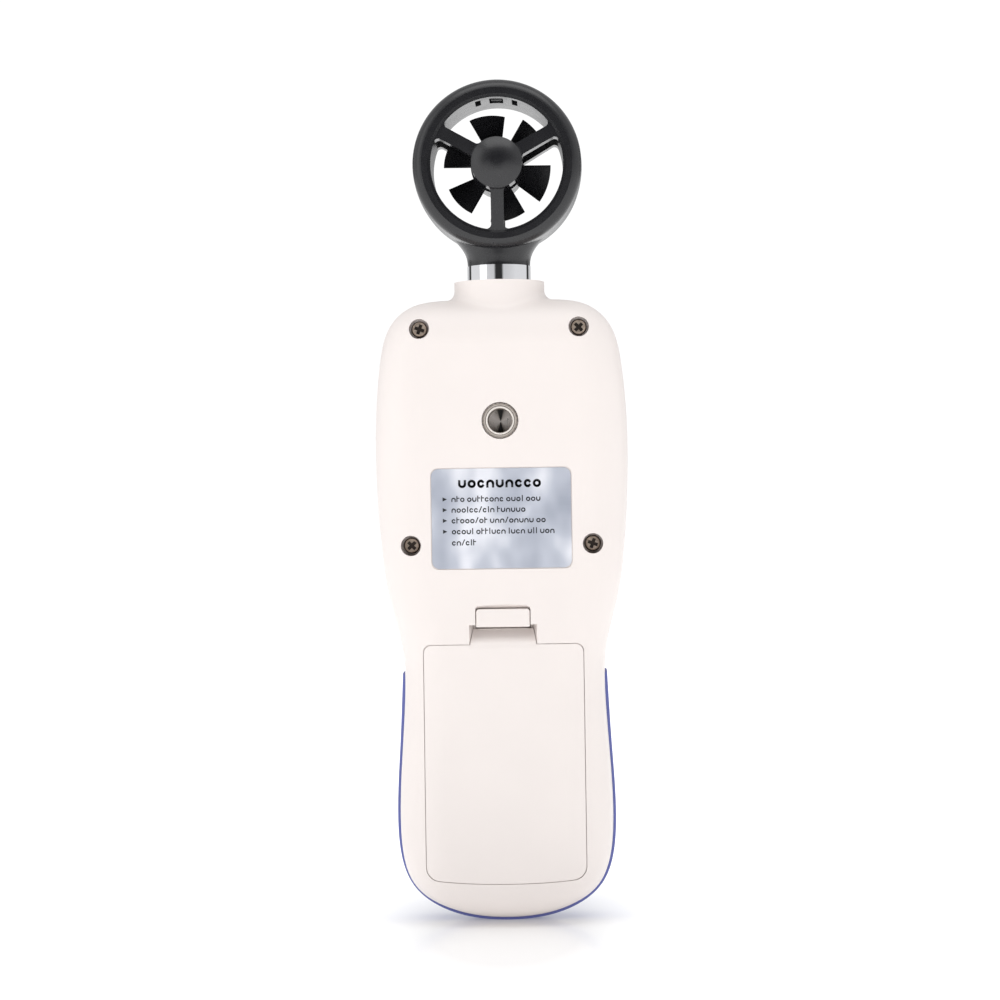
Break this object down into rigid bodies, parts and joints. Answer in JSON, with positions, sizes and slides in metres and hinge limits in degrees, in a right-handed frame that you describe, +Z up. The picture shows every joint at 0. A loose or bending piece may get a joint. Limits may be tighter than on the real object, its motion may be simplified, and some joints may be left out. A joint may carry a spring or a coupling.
{
  "type": "vane anemometer",
  "caption": "Handheld vane anemometer: ducted rotor head swivelling on a two-part casing with a display, keys, soft grip, tripod thread and latched battery cover.",
  "frame": {"origin": "on the tripod thread's axis, where the thread starts, 0.5 mm inside the rear face", "axes": "+Z up the casing towards the vane head, -Y out of the rear face, +X to the right seen from the rear"},
  "size_m": [0.0554, 0.0291, 0.184],
  "materials": {
    "casing_plastic": "fine satin texture",
    "blue_grip": "soft matte",
    "nickel_brass": "nickel plated, turned",
    "screw_steel": "dark bronze plating",
    "silver_label": "silver film",
    "cell_jacket": "printed jacket",
    "bright_steel": "nickel plated",
    "lead_sheath": "smooth",
    "board_laminate": "solder mask",
    "switch_metal": "satin",
    "chip_plastic": "moulded",
    "white_frame": "moulded",
    "display_glass": "polarised",
    "light_guide": "moulded",
    "strip_rubber": "matte",
    "gasket_foam": "foam",
    "window_clear": "polished",
    "black_plastic": "fine satin",
    "collar_chrome": "polished",
    "bearing_brass": "turned",
    "key_rubber": "matte"
  },
  "bodies": {
    "casing": {"rear_casing": "casing_plastic", "front_casing": "casing_plastic", "front_grip": "blue_grip", "tripod_insert": "nickel_brass", "casing_screws": "screw_steel", "rear_label": "silver_label", "battery_cell_1": "cell_jacket", "battery_cell_2": "cell_jacket", "battery_cell_3": "cell_jacket", "battery_springs": "bright_steel", "battery_contacts": "bright_steel", "battery_leads": "lead_sheath", "main_board": "board_laminate", "board_screws": "bright_steel", "tact_switches": "switch_metal", "board_chips": "chip_plastic", "display_frame": "white_frame", "display_panel": "display_glass", "backlight_panel": "light_guide", "contact_strip": "strip_rubber", "window_gasket": "gasket_foam", "display_window": "window_clear", "lead_socket": "white_frame", "board_lead": "lead_sheath"},
    "head": {"head_rear_shell": "black_plastic", "head_front_shell": "black_plastic", "swivel_collar": "collar_chrome", "swivel_stem": "black_plastic", "pickup_board": "board_laminate", "pickup_sensors": "chip_plastic", "rear_bearing": "bearing_brass", "front_bearing": "bearing_brass", "head_lead": "lead_sheath", "stem_lead": "lead_sheath"},
    "rotor": {"vane_rotor": "black_plastic", "rotor_shaft": "bright_steel"},
    "cover": {"battery_cover": "casing_plastic"},
    "latch": {"cover_latch": "casing_plastic"},
    "power_key": {"power_button": "key_rubber"},
    "hold_key": {"hold_button": "key_rubber"},
    "mode_key": {"mode_button": "key_rubber"},
    "light_key": {"light_button": "key_rubber"}
  },
  "joints": [
    {"name": "head_swivel", "type": "hinge", "parent": "casing", "child": "head", "pos_m": [0, 0.013, 0.0305], "axis": [0, 0, 1], "range_deg": [-90, 90]},
    {"name": "vane_spin", "type": "hinge", "parent": "head", "child": "rotor", "pos_m": [0, 0.013, 0.05595], "axis": [0, 1, 0], "continuous": true},
    {"name": "cover_swing", "type": "hinge", "parent": "casing", "child": "cover", "pos_m": [0, -0.0004, -0.0997], "axis": [1, 0, 0], "range_deg": [0, 70]},
    {"name": "latch_flex", "type": "hinge", "parent": "cover", "child": "latch", "pos_m": [0, 0.0076, -0.0435], "axis": [1, 0, 0], "range_deg": [0, 5], "stiffness_Nm_per_rad": 0.7},
    {"name": "power_press", "type": "slide", "parent": "casing", "child": "power_key", "axis": [0, -1, 0], "range_m": [0, 0.0008], "stiffness_N_per_m": 1500},
    {"name": "hold_press", "type": "slide", "parent": "casing", "child": "hold_key", "axis": [0, -1, 0], "range_m": [0, 0.0008], "stiffness_N_per_m": 1500},
    {"name": "mode_press", "type": "slide", "parent": "casing", "child": "mode_key", "axis": [0, -1, 0], "range_m": [0, 0.0008], "stiffness_N_per_m": 1500},
    {"name": "light_press", "type": "slide", "parent": "casing", "child": "light_key", "axis": [0, -1, 0], "range_m": [0, 0.0008], "stiffness_N_per_m": 1500}
  ]
}
